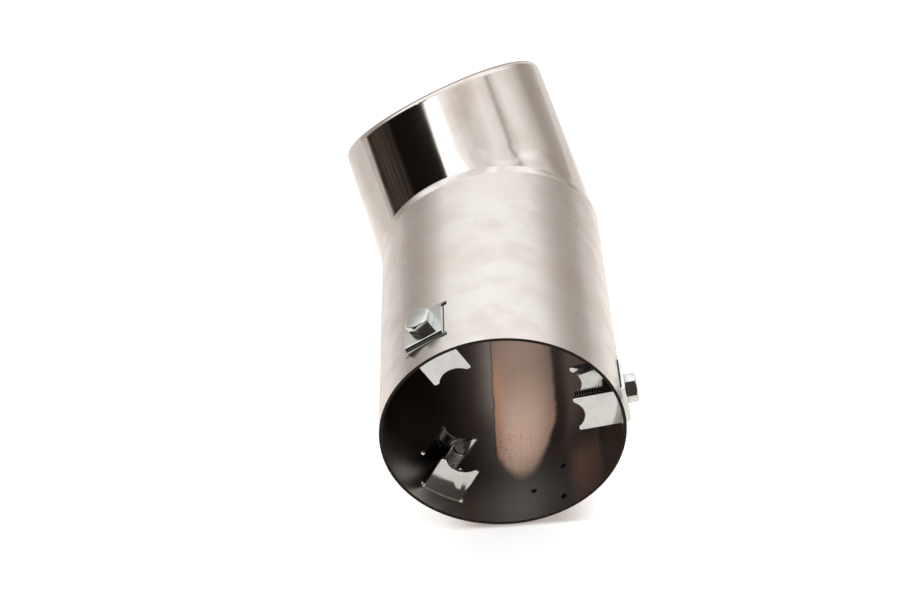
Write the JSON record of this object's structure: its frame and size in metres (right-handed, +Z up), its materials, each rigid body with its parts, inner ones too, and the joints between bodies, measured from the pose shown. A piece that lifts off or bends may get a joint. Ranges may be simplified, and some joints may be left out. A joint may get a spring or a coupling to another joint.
{
  "type": "exhaust tip",
  "caption": "Mitred stainless exhaust tip with a slanted, rolled rim; bolted U-shaped clamps with notched legs grip a tail pipe pushed into its inlet.",
  "frame": {"origin": "centre of the inlet mouth, on the axis of the inlet sleeve", "axes": "+Y along the inlet sleeve from its mouth towards the mitre, +X to the right seen from the mouth, +Z up as the tip lies on its side"},
  "size_m": [0.0927, 0.1789, 0.0931],
  "materials": {
    "satin_stainless": "satin, lightly brushed round the tube",
    "polished_stainless": "mirror polished",
    "bright_zinc": "bright zinc plating, smooth",
    "plain_steel": "plain, dark"
  },
  "bodies": {
    "tip": {"inlet_sleeve": "satin_stainless", "outlet_sleeve": "polished_stainless", "mitre_weld": "satin_stainless", "clamp_nut_right": "plain_steel", "clamp_nut_top": "plain_steel", "clamp_nut_low": "plain_steel"},
    "bracket_right": {"clamp_bracket_right": "bright_zinc"},
    "bolt_right": {"clamp_bolt_right": "bright_zinc"},
    "bracket_top": {"clamp_bracket_top": "bright_zinc"},
    "bolt_top": {"clamp_bolt_top": "bright_zinc"},
    "bracket_low": {"clamp_bracket_low": "bright_zinc"},
    "bolt_low": {"clamp_bolt_low": "bright_zinc"}
  },
  "joints": [
    {"name": "bracket_right_slide", "type": "slide", "parent": "tip", "child": "bracket_right", "axis": [0.9907, 0, 0.1357], "range_m": [-0.0001, 0.0088]},
    {"name": "bolt_right_turn", "type": "hinge", "parent": "bracket_right", "child": "bolt_right", "pos_m": [0.00048, 0.0154, -0.00347], "axis": [0.9907, 0, 0.1357], "range_deg": [-46, 3961]},
    {"name": "bracket_top_slide", "type": "slide", "parent": "tip", "child": "bracket_top", "axis": [-0.4802, 0, 0.8771], "range_m": [-0.0001, 0.0088]},
    {"name": "bolt_top_turn", "type": "hinge", "parent": "bracket_top", "child": "bolt_top", "pos_m": [-0.00272, 0.0154, -0.00149], "axis": [-0.4802, 0, 0.8771], "range_deg": [-46, 3961]},
    {"name": "bracket_low_slide", "type": "slide", "parent": "tip", "child": "bracket_low", "axis": [-0.5105, 0, -0.8599], "range_m": [-0.0001, 0.0088]},
    {"name": "bolt_low_turn", "type": "hinge", "parent": "bracket_low", "child": "bolt_low", "pos_m": [-0.00258, 0.0154, 0.00153], "axis": [-0.5105, 0, -0.8599], "range_deg": [-46, 3961]}
  ],
  "couplings": [
    {"joint": "bolt_right_turn", "follows": "bracket_right_slide", "rad_per_m": 7854},
    {"joint": "bolt_top_turn", "follows": "bracket_top_slide", "rad_per_m": 7854},
    {"joint": "bolt_low_turn", "follows": "bracket_low_slide", "rad_per_m": 7854}
  ]
}
